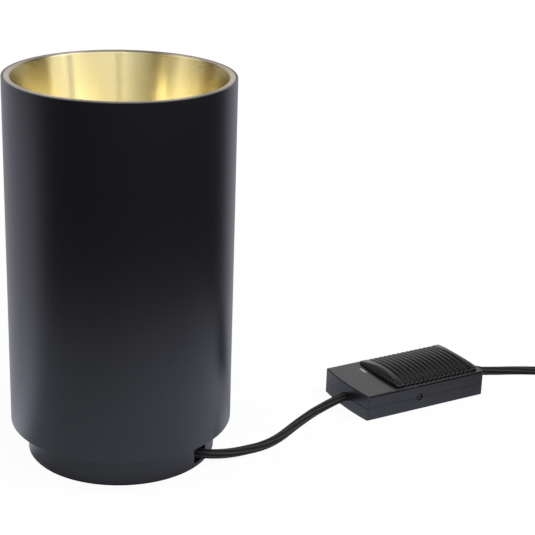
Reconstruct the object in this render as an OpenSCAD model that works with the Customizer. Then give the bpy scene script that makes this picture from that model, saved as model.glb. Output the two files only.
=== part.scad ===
// Floor lamp: a metal tube that throws its light upwards out of a spun brass reflector.
// It stands on a recessed, weighted base. A textile cord runs from the base to a foot dimmer
// with a sliding pad, and from there to a coil and a flat two-pin plug.
// Millimetres, +Z up. The origin lies on the floor, on the axis of the tube.

/* [Tube] */
// Height of the tube's top edge above the floor
lamp_h = 260; // [235:1:320]
// Outside diameter of the tube
tube_d = 150; // [142:1:180]
// Wall of the tube
tube_wall = 1.5; // [1:0.1:2.5]
// Height of the tube's lower edge above the floor
tube_lift = 23; // [21:0.5:32]
// Thickness of the disc that closes the tube below
tube_floor_t = 1.5; // [1:0.1:3]

/* [Reflector] */
// Thickness of the spun metal
reflector_t = 0.8; // [0.6:0.1:1.5]
// Width of the flat rim
rim_w = 3.6; // [2.5:0.1:6]
// Diameter where the cone meets the reflector's floor
reflector_floor_d = 86; // [76:1:100]
// Radius between the floor and the cone
reflector_bend_r = 8; // [4:0.5:12]

/* [Base] */
// Outside diameter of the base
base_d = 127.2; // [118:0.2:138]
// Wall of the base shell
base_wall = 2; // [1.5:0.1:3]
// Thickness of the base shell's top
base_top_t = 2; // [1.5:0.1:3]
// Height of the base shell's lower edge above the floor
shell_lift = 1; // [0.6:0.1:1.5]
// Thickness of the foot ring
foot_t = 2; // [1.8:0.1:4]
// Width of the foot ring
foot_w = 8; // [5:0.5:10]
// Thickness of the bottom plate
plate_t = 1.5; // [1:0.1:3]
// Height of the wiring space between the bottom plate and the ballast
wiring_h = 9.5; // [9:0.1:11]
// Diameter of the bosses under the ballast
boss_d = 10; // [8:0.5:12]
// Distance of the bosses from the axis
boss_ring_r = 45; // [40:0.5:50]
// Thread diameter of the screws in the bosses
base_screw_d = 4; // [3:0.5:5]
// Depth of those screws in the bosses
base_screw_grip = 7; // [5:0.5:8.5]

/* [Lamp holder] */
// Outside diameter of the hollow threaded rod
rod_d = 10; // [9:0.5:12]
// Bore of the rod
rod_bore_d = 7.2; // [6.4:0.1:7.6]
// Width across flats of the rod's nuts
nut_af = 14; // [14:0.5:19]
// Height of the rod's nuts
nut_h = 4; // [3:0.5:4.5]
// Length of the rod inside the holder's cap
rod_grip = 8; // [6:0.5:9]
// Height of the holder above the tube's floor
holder_lift = 37.5; // [25:0.5:45]
// Outside diameter of the holder
holder_d = 39; // [38:0.5:44]
// Wall of the holder's shell
holder_wall = 2; // [1.5:0.1:2.2]
// Height of the holder's cap
holder_cap_h = 20; // [18:0.5:26]
// Height of the holder's shell
holder_shell_h = 32; // [30:0.5:40]
// Thickness of the contact block in the holder
holder_core_t = 10; // [8:0.5:12]
// Diameter of the shoulder that carries the reflector
shoulder_d = 48; // [46:0.5:56]
// Thickness of the shoulder
shoulder_t = 2; // [1.5:0.1:4]
// Height of the shoulder above the shell's lower edge
shoulder_h = 14; // [10:0.5:18]
// Outside diameter of the ring that clamps the reflector
ring_d = 50; // [46:0.5:56]
// Height of that ring
ring_h = 5; // [3:0.5:8]

/* [Bulb] */
// Diameter of the bulb's globe
bulb_d = 60; // [50:1:70]
// Length of the bulb over all
bulb_l = 106; // [100:1:118]
// Diameter of the bulb's screw cap
cap_d = 26.4; // [26:0.1:26.8]
// Length of the screw cap
cap_l = 26; // [24:0.5:28]
// Wall of the globe
globe_wall = 1.2; // [0.8:0.1:2]

/* [Cord] */
// Diameter of the textile cord
cord_d = 6.5; // [5.5:0.1:6.8]
// Diameter of an insulated core
core_d = 2.2; // [1.8:0.1:2.4]
// Sideways place of the cord where it leaves the base
exit_y = -29.5; // [-32:0.5:-26]
// Width of the window that the cord leaves through
window_w = 12.6; // [11:0.2:15]
// Length of the cord grip inside the window
grip_l = 18; // [14:0.5:20]

/* [Dimmer case] */
// Length of the dimmer's long walls
dimmer_l = 104; // [100:0.5:112]
// Width of the dimmer
dimmer_w = 56.6; // [55:0.1:64]
// How far the end walls bow out at their middle
end_bow = 2; // [1:0.1:4]
// Height of the deck above the floor
deck_h = 19.5; // [19:0.1:23]
// Height of the joint between the two half shells
split_h = 10; // [9.5:0.1:10.5]
// Wall of the half shells
case_wall = 2; // [1.5:0.1:2.4]
// Radius that eases the case's upright edges
case_corner_r = 5; // [4:0.1:7]
// Radius of the deck's edge
deck_edge_r = 1; // [0.6:0.1:1.4]
// Thickness of the dimmer's feet
pad_foot_t = 0.5; // [0.5:0.1:1.2]
// Height of the cord's axis where it enters the dimmer
entry_z = 8.3; // [8:0.1:8.8]
// Diameter of the case screws' thread
case_screw_d = 2.5; // [2:0.1:3]

/* [Dimmer slider] */
// Length of the sliding pad
pad_l = 72.5; // [68:0.5:73]
// Width of the sliding pad
pad_w = 50; // [47:0.5:52]
// Height of the pad's crown above the deck
pad_crown = 4.9; // [4.6:0.1:6]
// Height of the pad's long edges above the deck
pad_edge = 1.8; // [1.7:0.1:2.4]
// Radius of the pad's upper edge at the plug's end
pad_end_r = 4; // [2:0.1:4.4]
// Wall of the pad
pad_wall = 2; // [1.5:0.1:2.4]
// Length of the rounded nose
nose_l = 5.5; // [4:0.5:7]
// Travel of the pad
pad_travel = 22; // [16:0.5:22.5]
// Number of grooves across the pad
groove_count = 15; // [8:1:16]
// Distance between grooves
groove_pitch = 4.13; // [3.5:0.01:4.2]
// Width of a groove
groove_w = 2; // [1.2:0.1:2.4]
// Depth of a groove
groove_d = 1.1; // [0.6:0.1:1.2]
// Diameter of the small set-point screw in the front wall
trimmer_d = 4.2; // [3.6:0.1:4.8]
// Length of the indicator lens
lens_l = 8; // [6:0.5:12]
// Width of the indicator lens
lens_w = 2; // [1.6:0.1:3]

/* [Coil and plug] */
// Turns of the put-away cord in each of the two layers
layer_turns = 3.625; // [2.625:0.25:3.625]
// Radius of the coil's outermost turn
coil_r = 51.5; // [51.5:0.5:60]
// Distance between neighbouring turns and layers
coil_pitch = 7; // [7:0.01:7.1]
// Thickness of the tie
tie_t = 0.8; // [0.5:0.1:0.9]
// Width of the tie
tie_w = 8; // [5:0.5:10]
// Width of the plug
plug_w = 35.3; // [32:0.1:38]
// Thickness of the plug
plug_t = 13.7; // [13:0.1:15]
// Length of the plug's body
plug_l = 36; // [32:0.5:40]
// Length of the plug's bend protector
boot_l = 25; // [20:0.5:30]
// Diameter of a pin
pin_d = 4; // [3.8:0.1:4.8]
// Length of a pin
pin_l = 19; // [17:0.5:20]
// Distance between the pins
pin_pitch = 18.6; // [17.5:0.1:19]

/* [Clearances] */
// Gap round pieces that are fixed in each other
fit_gap = 0.1; // [0.05:0.01:0.15]
// Gap between the sliding pad and the case
slide_gap = 0.3; // [0.25:0.01:0.4]
// Gap round a turning shaft
run_gap = 0.05; // [0.03:0.01:0.08]

/* [Hidden] */
$fn = 96;

// How far a cutting shape runs past what it cuts
past = 1;

// Tube and base
tube_in_r = tube_d / 2 - tube_wall;
base_in_r = base_d / 2 - base_wall;
plate_z = foot_t;
plate_top = plate_z + plate_t;
ballast_z = plate_top + wiring_h;
base_ceiling = tube_lift - base_top_t;
tube_floor_top = tube_lift + tube_floor_t;
boss_angles = [30, 150, 270];
rod_hole_r = rod_d / 2 + fit_gap;
screw_head_d = 1.8 * base_screw_d;
screw_head_t = 1.6;
foot_inset = 0.6;
lip_inset = 0.8;

// Lamp holder, from its lower edge up
holder_z = tube_floor_top + holder_lift;
holder_r = holder_d / 2;
holder_in_r = holder_r - holder_wall;
core_z = holder_z + holder_cap_h;
core_top = core_z + holder_core_t;
shoulder_z = core_z + shoulder_h;
seat_z = shoulder_z + shoulder_t;
rod_z = ballast_z - nut_h;
rod_top = holder_z + rod_grip;
ledge_w = 4;
cap_floor_t = 10;
contact_t = 1.5;
contact_r = 4;
sleeve_t = 0.6;
sleeve_gap = 0.15;
sleeve_stop = 2;

// Bulb
bulb_z = core_top + contact_t;
bulb_top = bulb_z + bulb_l;
globe_r = bulb_d / 2;
globe_low_angle = -20;
globe_z = bulb_top - globe_r;
globe_rim_z = globe_z + globe_r * sin(globe_low_angle);
globe_rim_r = globe_r * cos(globe_low_angle);
collar_z = bulb_z + cap_l;

// Reflector
rim_gap = 0.2;
rim_out_r = tube_in_r - rim_gap;
mouth_r = rim_out_r - rim_w;
cone_angle = atan((mouth_r - reflector_floor_d / 2) / (lamp_h - seat_z - reflector_t));

// Where the cord leaves the base
exit_z = plate_top + wiring_h / 2;
cord_r = cord_d / 2;
grip_x = base_in_r - grip_l - 6.7;
grip_flange = 3;
sheath_end_x = grip_x - 2;
block_size = [18, 16, wiring_h - 1.5];
block_x = 9;

// Dimmer, placed by the middle of its end face towards the lamp
entry_at = [157.02, 67.662];
dimmer_turn = 30.6;
dimmer_dir = [cos(dimmer_turn), sin(dimmer_turn)];
mid_l = dimmer_l + 2 * end_bow;
bow_r = (pow(dimmer_w / 2, 2) + pow(end_bow, 2)) / (2 * end_bow);
dimmer_at = entry_at + dimmer_dir * mid_l / 2;
deck_t = case_wall;
seam = 0.5;
boss_inset = 6;
case_boss_d = 7;
case_screw_head_d = 5;
case_screw_head_t = 1.8;
case_screw_grip = 4.5;
board_t = 1.6;
board_z = pad_foot_t + case_wall + 2.2;
board_top = board_z + board_t;
board_l = dimmer_l - 23;
board_w = dimmer_w - 11;
post_d = 5;
cord_in = 8 + end_bow;
clamp_x = dimmer_l / 2 - case_wall - 3.5;
clamp_y = cord_r + 3.25;
clamp_l = 3;
clamp_t = 2.2;
clamp_post_d = 4;
clamp_top = entry_z + cord_r + fit_gap;
clamp_screw_d = 1.8;
dimmer_core_d = 1.6;
core_spread = 1.5;

// Sliding pad, along the deck from the dimmer's middle
pad_x = -24.5;
pad_end_x = pad_x + pad_l;
nose_over = 0.4;
nose_steps = 10;
pad_rise = pad_crown - pad_edge;
vault_r = (pow(pad_rise, 2) + pow(pad_w / 2, 2)) / (2 * pad_rise);
groove_x = pad_x + nose_l + 2.4;
stem_x = 13;
stem_l = 8;
slot_w = 6;
stem_w = slot_w - 2 * slide_gap;
boss_low = 1.6;
carriage_l = 18;
carriage_w = 15;
carriage_t = 1.5;
carriage_top = -(deck_t + slide_gap);
slider_screw_d = 2.4;
slider_head_d = 4.6;
slider_head_t = 1.4;
lever_x = 6;
lever_t = 1.2;
lever_w = 3;
lever_in = 1.2;
rail_cut = 0.8;
rail_drop = 0.6;
rail_x = -(dimmer_l / 2 - 1.5);
rail_l = dimmer_l - 3;
lens_at = [-29.7, 12.4];
lens_flange = 1;
lens_flange_t = 1;

// Pieces on the dimmer's board
pot_l = pad_travel + 16;
pot_w = 8;
pot_h = 4.2;
pot_x = stem_x + lever_x - pad_travel / 2;
lever_low = board_top + pot_h - lever_in - deck_h;
trimmer_x = -6;
trimmer_r = trimmer_d / 2;
trimmer_recess = 0.5;
trimmer_gap = 2 * slide_gap;
trimmer_head_l = 5.6;
trimmer_shaft_r = 1;
trimmer_shaft_l = 4;
trimmer_pot_y = -dimmer_w / 2 + trimmer_recess + trimmer_head_l + slide_gap;
choke_at = [-24, -13.5];
choke_r = 5.7;
choke_wire_r = 2.8;
terminal_size = [6, 12, 6.4];

// Coil of put-away cord, wound from its outer turn in and out again
coil_at = [362, 86];
coil_gap = 0.35;
coil_z = tie_t + coil_gap + cord_r;
coil_steps = 24;
coil_in_r = coil_r - coil_pitch * layer_turns;
climb_turns = 0.5;
tie_angle = -120;
tie_side_gap = 0.9;
coil_start = [coil_at[0], coil_at[1] + coil_r, coil_z];
coil_end = [coil_at[0] + coil_r, coil_at[1], coil_z + coil_pitch];

// Plug, which lies beside the coil with its pins towards -Y
plug_x = coil_end[0];
boot_y = 40;
plug_y = boot_y - boot_l;
plug_z = plug_t / 2;
boot_thin_r = 4.4;
boot_thick_r = 6;
plug_rear_w = 17;
plug_front_l = 15;
plug_rear_t = 12.2;

// Routes of the cord: from inside the base to the dimmer, from the dimmer to the coil,
// and from the coil to the plug
lamp_route = [[sheath_end_x, exit_y, exit_z], [43, exit_y, exit_z], [50, exit_y, exit_z],
    [57, -29.4, 8.2], [63.5, -28.4, 7.6], [70, -25.8, 6.6], [76, -21.9, 5.4], [82, -17.4, 4.4],
    [88, -13, 3.8], [94, -8.7, 3.4], [99.5, -4.2, 3.3], [105, 1.6, 3.3], [110.5, 9.3, 3.3],
    [116, 18.8, 3.3], [122, 29.6, 3.3], [128, 39.6, 3.3], [133.5, 48.2, 3.4], [139, 54.6, 4],
    [144.4, 59.3, 5.2], [149.8, 62.7, 6.8], [154.4, 65.8, 7.9], in_dimmer(-1, -0.2), in_dimmer(-1, 4),
    in_dimmer(-1, cord_in)];
mains_route = [in_dimmer(1, cord_in), in_dimmer(1, 4), in_dimmer(1, 0), [254.4, 125, 8],
    [258.4, 127.1, 7.2], [262.3, 128.8, 6.1], [266.2, 130.1, 4.9], [273.3, 132.6, 4.05],
    [281.2, 134.5, 3.55], [290.1, 136, 3.4], [300, 137.1, 3.3], [310, 137.5, 3.3], [322, 137.5, 3.6],
    [336, 137.5, 4], [347, 137.5, 4.4], coil_start - [cord_d, 0, 0]];
tail_route = [coil_end - [0, cord_d, 0], [413.5, 73, 11.4], [413.5, 66, 10.9], [413.5, 59, 9.7],
    [413.5, 52, 8.3], [413.5, 46, 7.3], [plug_x, boot_y, plug_z], [plug_x, boot_y - 6, plug_z],
    [plug_x, plug_y, plug_z]];
cord_sides = 10;
core_sides = 8;
coil_sides = 6;

// A point on the cord's axis inside one end of the dimmer; side is -1 at the lamp's end, 1 at the other
function in_dimmer(side, depth) = let (p = dimmer_at + dimmer_dir * side * (mid_l / 2 - depth))
    [p[0], p[1], entry_z];

// Points on an arc, with both ends
function arc(centre, r, from, to, steps = 8) = [for (i = [0:steps])
    let (a = from + (to - from) * i / steps) centre + r * [cos(a), sin(a)]];

// Outline of a rectangle with rounded corners, about the origin
function rounded(l, w, r) = [for (c = [[1, 1, 0], [-1, 1, 90], [-1, -1, 180], [1, -1, 270]])
    each arc([c[0] * (l / 2 - r), c[1] * (w / 2 - r)], r, c[2], c[2] + 90, 5)];

// Sweep: the direction of a route at a point, and a ring of points round it
function unit(v) = v / norm(v);
function heading(p, i) = unit(p[min(i + 1, len(p) - 1)] - p[max(i - 1, 0)]);
function ring_of(p, dir, r, sides, up) = let (s = unit(cross(dir, up)), u = cross(s, dir))
    [for (k = [0:sides - 1]) p + r * (cos(360 * k / sides) * s + sin(360 * k / sides) * u)];

// A round tube along a route
module swept(route, r, sides, up = [0, 0, 1]) {
    last = len(route) - 1;
    points = [for (i = [0:last]) each ring_of(route[i], heading(route, i), r, sides, up)];
    walls = [for (i = [0:last - 1], k = [0:sides - 1])
        let (a = i * sides + k, b = i * sides + (k + 1) % sides)
        each [[a, b, b + sides], [a, b + sides, a + sides]]];
    ends = [for (k = [1:sides - 2]) each [[0, k + 1, k],
        [last * sides, last * sides + k, last * sides + k + 1]]];
    polyhedron(points = points, faces = concat(walls, ends));
}

module pipe(r_out, r_in, h) {
    difference() {
        cylinder(r = r_out, h = h);
        translate([0, 0, -past]) cylinder(r = r_in, h = h + 2 * past);
    }
}

module slab(outline, z, h) {
    translate([0, 0, z]) linear_extrude(h) polygon(outline);
}

// Puts its children at the three bosses of the ballast
module at_bosses() {
    for (a = boss_angles) rotate([0, 0, a]) translate([boss_ring_r, 0, 0]) children();
}

// Lamp

module outer_tube() {
    color("#1b1c1f") translate([0, 0, tube_lift]) pipe(tube_d / 2, tube_in_r, lamp_h - tube_lift);
}

module tube_floor() {
    color("#2a2b2e") translate([0, 0, tube_lift]) pipe(tube_in_r - fit_gap, rod_hole_r, tube_floor_t);
}

// Half section of the reflector: flat rim, cone, bend and a floor with a hole for the holder
function reflector_section() = let (
    floor_top = seat_z + reflector_t,
    floor_r = reflector_floor_d / 2,
    bend = [floor_r - reflector_bend_r / tan(45 + cone_angle / 2), floor_top + reflector_bend_r],
    skin = reflector_t / cos(cone_angle),
    under_r = mouth_r - reflector_t * tan(cone_angle) + skin,
    hole_r = holder_r + fit_gap)
    concat([[hole_r, seat_z]],
        arc(bend, reflector_bend_r + reflector_t, -90, -cone_angle),
        [[under_r, lamp_h - reflector_t], [rim_out_r, lamp_h - reflector_t], [rim_out_r, lamp_h],
            [mouth_r, lamp_h]],
        arc(bend, reflector_bend_r, -cone_angle, -90),
        [[hole_r, floor_top]]);

module reflector() {
    color("#c9a54e") rotate_extrude() polygon(reflector_section());
}

module base_shell() {
    color("#1b1c1f") difference() {
        translate([0, 0, shell_lift]) cylinder(d = base_d, h = tube_lift - shell_lift);
        cylinder(r = base_in_r, h = base_ceiling);
        cylinder(r = rod_hole_r, h = tube_lift + past);
        translate([0, exit_y - window_w / 2, plate_top]) cube([base_d, window_w, wiring_h]);
    }
}

module ballast() {
    color("#4a4a4a") difference() {
        union() {
            translate([0, 0, ballast_z]) cylinder(r = base_in_r - fit_gap, h = base_ceiling - ballast_z);
            at_bosses() translate([0, 0, plate_top]) cylinder(d = boss_d, h = wiring_h + past);
        }
        cylinder(r = rod_hole_r, h = tube_lift);
        at_bosses() cylinder(d = base_screw_d + 2 * fit_gap, h = plate_top + base_screw_grip + past);
    }
}

module bottom_plate() {
    color("#2a2b2e") difference() {
        translate([0, 0, plate_z]) cylinder(r = base_in_r - fit_gap, h = plate_t);
        at_bosses() cylinder(d = base_screw_d + 2 * fit_gap, h = plate_top + past);
    }
}

// The ring's lip reaches out under the lower edge of the shell
module foot_ring() {
    out_r = base_in_r - foot_inset;
    lip_r = base_d / 2 - lip_inset;
    color("#121212") rotate_extrude() polygon([[out_r - foot_w, 0], [lip_r, 0], [lip_r, shell_lift],
        [out_r, shell_lift], [out_r, foot_t], [out_r - foot_w, foot_t]]);
}

module base_screws() {
    color("#8d8f92") at_bosses() {
        translate([0, 0, foot_t - screw_head_t]) cylinder(d = screw_head_d, h = screw_head_t);
        translate([0, 0, foot_t]) cylinder(d = base_screw_d, h = plate_t + base_screw_grip);
    }
}

module centre_rod() {
    color("#b9bbbd") translate([0, 0, rod_z]) pipe(rod_d / 2, rod_bore_d / 2, rod_top - rod_z);
}

module rod_nuts() {
    color("#b9bbbd") for (z = [rod_z, tube_floor_top]) translate([0, 0, z]) difference() {
        cylinder(d = nut_af / cos(30), h = nut_h, $fn = 6);
        translate([0, 0, -past]) cylinder(r = rod_hole_r, h = nut_h + 2 * past);
    }
}

module holder_cap() {
    ledge_r = holder_r - ledge_w;
    bevel = 4;
    color("#17181a") translate([0, 0, holder_z]) rotate_extrude() polygon([[rod_hole_r, 0],
        [holder_r - bevel, 0], [holder_r, bevel], [holder_r, holder_cap_h], [ledge_r, holder_cap_h],
        [ledge_r, cap_floor_t], [rod_hole_r, cap_floor_t]]);
}

module holder_core() {
    color("#e8e4da") translate([0, 0, core_z]) cylinder(r = holder_in_r - fit_gap, h = holder_core_t);
}

module holder_shell() {
    color("#17181a") difference() {
        union() {
            translate([0, 0, core_z]) cylinder(r = holder_r, h = holder_shell_h);
            translate([0, 0, shoulder_z]) cylinder(d = shoulder_d, h = shoulder_t);
        }
        translate([0, 0, core_z - past]) cylinder(r = holder_in_r, h = holder_shell_h + 2 * past);
    }
}

module holder_ring() {
    color("#17181a") translate([0, 0, seat_z + reflector_t]) pipe(ring_d / 2, holder_r + fit_gap, ring_h);
}

module screw_sleeve() {
    in_r = cap_d / 2 + sleeve_gap;
    color("#c8a24a") translate([0, 0, core_top])
        pipe(in_r + sleeve_t, in_r, holder_shell_h - holder_core_t - sleeve_stop);
}

module centre_contact() {
    color("#c8a24a") translate([0, 0, core_top]) cylinder(r = contact_r, h = contact_t);
}

module bulb_cap() {
    cap_r = cap_d / 2;
    button_h = 1.5;
    glass_h = 3;
    color("#c4c6c8") translate([0, 0, bulb_z]) rotate_extrude() polygon([[0, 0], [contact_r, 0],
        [contact_r, button_h], [cap_r - glass_h, button_h + glass_h], [cap_r - 1, button_h + glass_h],
        [cap_r, button_h + glass_h + 1], [cap_r, cap_l], [0, cap_l]]);
}

// The collar widens from the screw cap to the globe in a smooth curve
module bulb_collar() {
    low_r = cap_d / 2 + 0.8;
    steps = 8;
    side = [for (i = [0:steps]) let (s = i / steps) [low_r + (globe_rim_r - low_r) * sin(90 * s),
        collar_z + (globe_rim_z - collar_z) * s]];
    color("#f2f0ea") rotate_extrude() polygon(concat([[0, collar_z]], side, [[0, globe_rim_z]]));
}

module bulb_globe() {
    centre = [0, globe_z];
    in_r = globe_r - globe_wall;
    in_low = asin((globe_rim_z - globe_z) / in_r);
    color("#f7f4ea") rotate_extrude() polygon(concat(arc(centre, globe_r, globe_low_angle, 90, 14),
        arc(centre, in_r, 90, in_low, 14)));
}

module cord_grip() {
    grip_w = window_w + 2 * grip_flange;
    color("#101113") difference() {
        intersection() {
            translate([grip_x, exit_y - grip_w / 2, plate_top])
                cube([base_d, grip_w, wiring_h - 2 * fit_gap]);
            cylinder(r = base_in_r - fit_gap, h = tube_lift);
        }
        translate([0, exit_y, exit_z]) rotate([0, 90, 0]) cylinder(r = cord_r + fit_gap, h = base_d);
    }
}

module terminal_block() {
    color("#e6e2d6") translate([block_x, exit_y - block_size[1] / 2, plate_top]) cube(block_size);
}

module cord_cores() {
    from = block_x + block_size[0];
    color("#6b4a2c") for (s = [-1, 1]) translate([from, exit_y + s * core_spread, exit_z])
        rotate([0, 90, 0]) cylinder(d = core_d, h = sheath_end_x - from);
}

// Two leads from the terminal block, up through the hollow rod, to the contact block
module inner_leads() {
    low = plate_top + core_d / 2 + 0.4;
    color("#7b5a36") for (s = [-1, 1]) {
        x = 1.5 * s;
        y = exit_y + 3 * s;
        route = [[block_x, y, low], [x + 4.5, y, low], [x + 1.3, y + 1.3, low], [x, y + 4.5, low],
            [x, -14, low], [x, -4.5, low], [x, -1.6, low + 1], [x, -0.4, low + 3], [x, 0, rod_z + 3],
            [x, 0, rod_z + 20], [x, 0, rod_top], [x * 1.4, 0, rod_top + 3], [x * 3, 0, core_z - 4],
            [x * 3, 0, core_z]];
        swept(route, core_d / 2, core_sides, [1, 1, 0]);
    }
}

// Dimmer

module at_dimmer() {
    translate([dimmer_at[0], dimmer_at[1], 0]) rotate([0, 0, dimmer_turn]) children();
}

// Places children on the deck: x along it away from the lamp
module on_deck() {
    translate([0, 0, deck_h]) children();
}

module at_case_screws() {
    for (sx = [-1, 1], sy = [-1, 1])
        translate([sx * (dimmer_l / 2 - boss_inset), sy * (dimmer_w / 2 - boss_inset), 0]) children();
}

module at_clamp_posts() {
    for (sx = [-1, 1], sy = [-1, 1]) translate([sx * clamp_x, sy * clamp_y, 0]) children();
}

// What both half shells are cut by: the two cord entries and the hole for the set-point screw
module case_cuts() {
    translate([-dimmer_l, 0, entry_z]) rotate([0, 90, 0]) cylinder(r = cord_r + fit_gap, h = 2 * dimmer_l);
    translate([trimmer_x, -dimmer_w / 2 + case_wall + past, split_h]) rotate([90, 0, 0])
        cylinder(r = trimmer_r + trimmer_gap, h = case_wall + 2 * past);
}

module along_width(section, w) {
    rotate([90, 0, 0]) linear_extrude(w, center = true) polygon(section);
}

module along_length(section, l) {
    rotate([90, 0, 90]) linear_extrude(l, center = true) polygon(section);
}

// A disc with a rounded upper edge, whose rim is one bowed end of the case
module bowed_end(side, r, low, top, edge) {
    translate([side * (mid_l / 2 - bow_r), 0, 0]) rotate_extrude()
        polygon(concat([[0, low], [r, low]], arc([r - edge, top - edge], edge, 0, 90, 4), [[0, top]]));
}

// The case's form drawn in by inset, with a rounded upper edge: long walls that are straight, and
// end walls that bow out
module case_form(inset, low, top, edge) {
    half = dimmer_w / 2 - inset;
    end_r = bow_r - inset;
    intersection() {
        along_length(concat([[-half, low], [half, low]], arc([half - edge, top - edge], edge, 0, 90, 4),
            arc([edge - half, top - edge], edge, 90, 180, 4)), mid_l + 4 * past);
        slab(rounded(mid_l - 2 * inset + 2 * past, 2 * half, case_corner_r), low - past,
            top - low + 2 * past);
        bowed_end(-1, end_r, low - past, top, edge);
        bowed_end(1, end_r, low - past, top, edge);
    }
}

module dimmer_base() {
    floor_z = pad_foot_t + case_wall;
    color("#26272b") at_dimmer() difference() {
        union() {
            difference() {
                case_form(0, pad_foot_t, split_h, seam);
                case_form(case_wall, floor_z, split_h + past, seam);
            }
            at_case_screws() translate([0, 0, floor_z - past])
                cylinder(d = case_boss_d, h = split_h - floor_z + past);
            at_clamp_posts() translate([0, 0, floor_z - past])
                cylinder(d = clamp_post_d, h = clamp_top - floor_z + past);
            for (sx = [-1, 1], sy = [-1, 1])
                translate([sx * (board_l / 2 - post_d), sy * (board_w / 2 - post_d), floor_z - past])
                    cylinder(d = post_d, h = board_z - floor_z + past);
        }
        case_cuts();
        at_case_screws() {
            cylinder(d = case_screw_d + 4 * fit_gap, h = split_h + past);
            cylinder(d = case_screw_head_d + 4 * fit_gap, h = pad_foot_t + case_screw_head_t);
        }
        at_clamp_posts() translate([0, 0, entry_z]) cylinder(d = clamp_screw_d + 2 * fit_gap, h = split_h);
    }
}

module dimmer_cover() {
    color("#2b2c30") at_dimmer() difference() {
        union() {
            difference() {
                case_form(0, split_h, deck_h, deck_edge_r);
                case_form(case_wall, split_h - past, deck_h - deck_t, seam);
            }
            intersection() {
                case_form(case_wall / 2, split_h, deck_h - deck_t / 2, seam);
                at_case_screws() cylinder(d = case_boss_d, h = 2 * deck_h);
            }
        }
        case_cuts();
        at_case_screws() translate([0, 0, split_h - past])
            cylinder(d = case_screw_d + 2 * fit_gap, h = case_screw_grip + past + fit_gap);
        on_deck() {
            translate([stem_x - pad_travel - stem_l / 2 - slide_gap, -slot_w / 2, -2 * deck_t])
                cube([pad_travel + stem_l + 2 * slide_gap, slot_w, 3 * deck_t]);
            translate([lens_at[0] - lens_w / 2 - fit_gap, lens_at[1] - lens_l / 2 - fit_gap, -2 * deck_t])
                cube([lens_w + 2 * fit_gap, lens_l + 2 * fit_gap, 3 * deck_t]);
            for (s = [-1, 1]) translate([rail_x, s * dimmer_w / 2 - rail_cut, -rail_drop - rail_cut])
                cube([rail_l, 2 * rail_cut, rail_cut]);
        }
    }
}

// The pad's outer form drawn in by inset: an arched back, a rounded nose and a rounded end. The curves
// of nose and end would end a little above the crown, so that they meet the arch at a clear edge.
module pad_form(inset, low) {
    end_x = pad_end_x - inset;
    end_r = max(pad_end_r - inset, 1);
    nose_h = pad_crown - inset - slide_gap;
    curve_h = nose_h + nose_over;
    curve_l = nose_l / (1 - cos(asin(nose_h / curve_h)));
    nose = [for (i = [nose_steps:-1:0]) let (a = 90 * i / nose_steps)
        [pad_x + inset + curve_l * (1 - cos(a)), slide_gap + curve_h * sin(a)]];
    end_top = pad_crown - inset + nose_over;
    intersection() {
        translate([pad_x - nose_l, 0, pad_crown - vault_r]) rotate([0, 90, 0])
            cylinder(r = vault_r - inset, h = pad_l + 2 * nose_l);
        along_width(concat([[pad_x + inset, low], [end_x, low]],
            arc([end_x - end_r, end_top - end_r], end_r, 0, 90, 5), nose), pad_w - 2 * inset);
    }
}

// The grooves run across the pad's whole width
module slider_pad() {
    color("#1d1e21") at_dimmer() on_deck() difference() {
        union() {
            difference() {
                pad_form(0, slide_gap);
                pad_form(pad_wall, slide_gap - past);
            }
            intersection() {
                pad_form(pad_wall / 2, slide_gap);
                translate([stem_x - 6, -4.5, boss_low]) cube([12, 9, pad_crown]);
            }
        }
        for (i = [0:groove_count - 1])
            translate([groove_x + i * groove_pitch - groove_w / 2, 0, pad_crown - vault_r])
                rotate([0, 90, 0]) pipe(vault_r + past, vault_r - groove_d, groove_w);
        translate([stem_x, 0, 0]) cylinder(d = slider_screw_d + 2 * fit_gap, h = boss_low + 1.6);
    }
}

// Runs under the deck and drives the lever; its stem reaches up through the slot to the pad
module slider_carriage() {
    low = carriage_top - carriage_t;
    color("#d8d4c8") at_dimmer() on_deck() translate([stem_x, 0, 0]) difference() {
        union() {
            translate([-carriage_l / 2, -carriage_w / 2, low]) cube([carriage_l, carriage_w, carriage_t]);
            translate([-stem_l / 2, -stem_w / 2, low]) cube([stem_l, stem_w, boss_low - low]);
        }
        translate([0, 0, low - past]) cylinder(d = slider_screw_d + 2 * fit_gap, h = 4 * pad_crown);
    }
}

module slider_screw() {
    low = carriage_top - carriage_t;
    color("#b9bbbd") at_dimmer() on_deck() translate([stem_x, 0, low]) {
        translate([0, 0, -slider_head_t]) cylinder(d = slider_head_d, h = slider_head_t);
        cylinder(d = slider_screw_d, h = boss_low - low + 1.4);
    }
}

// Blade that the carriage drives in the slide resistor's slot
module pot_lever() {
    top = carriage_top - carriage_t;
    color("#b9bbbd") at_dimmer() on_deck() translate([stem_x + lever_x, 0, top])
        translate([-lever_w / 2, -lever_t / 2, lever_low - top])
            cube([lever_w, lever_t, top - lever_low]);
}

module slide_pot() {
    slot = lever_t + 1;
    color("#3a3f3a") at_dimmer() difference() {
        translate([pot_x - pot_l / 2, -pot_w / 2, board_top]) cube([pot_l, pot_w, pot_h]);
        translate([pot_x - pot_l / 2 + 4, -slot / 2, board_top + 1.4]) cube([pot_l - 8, slot, pot_h]);
    }
}

module dimmer_board() {
    color("#2f5a34") at_dimmer() slab(rounded(board_l, board_w, 1), board_z, board_t);
}

module trimmer_pot() {
    color("#3d62a8") at_dimmer() difference() {
        translate([trimmer_x - 4, trimmer_pot_y, board_top]) cube([8, 6, 2 * (split_h - board_top)]);
        translate([trimmer_x, trimmer_pot_y - past, split_h]) rotate([-90, 0, 0])
            cylinder(r = trimmer_shaft_r + run_gap, h = trimmer_shaft_l + past + slide_gap);
    }
}

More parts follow.
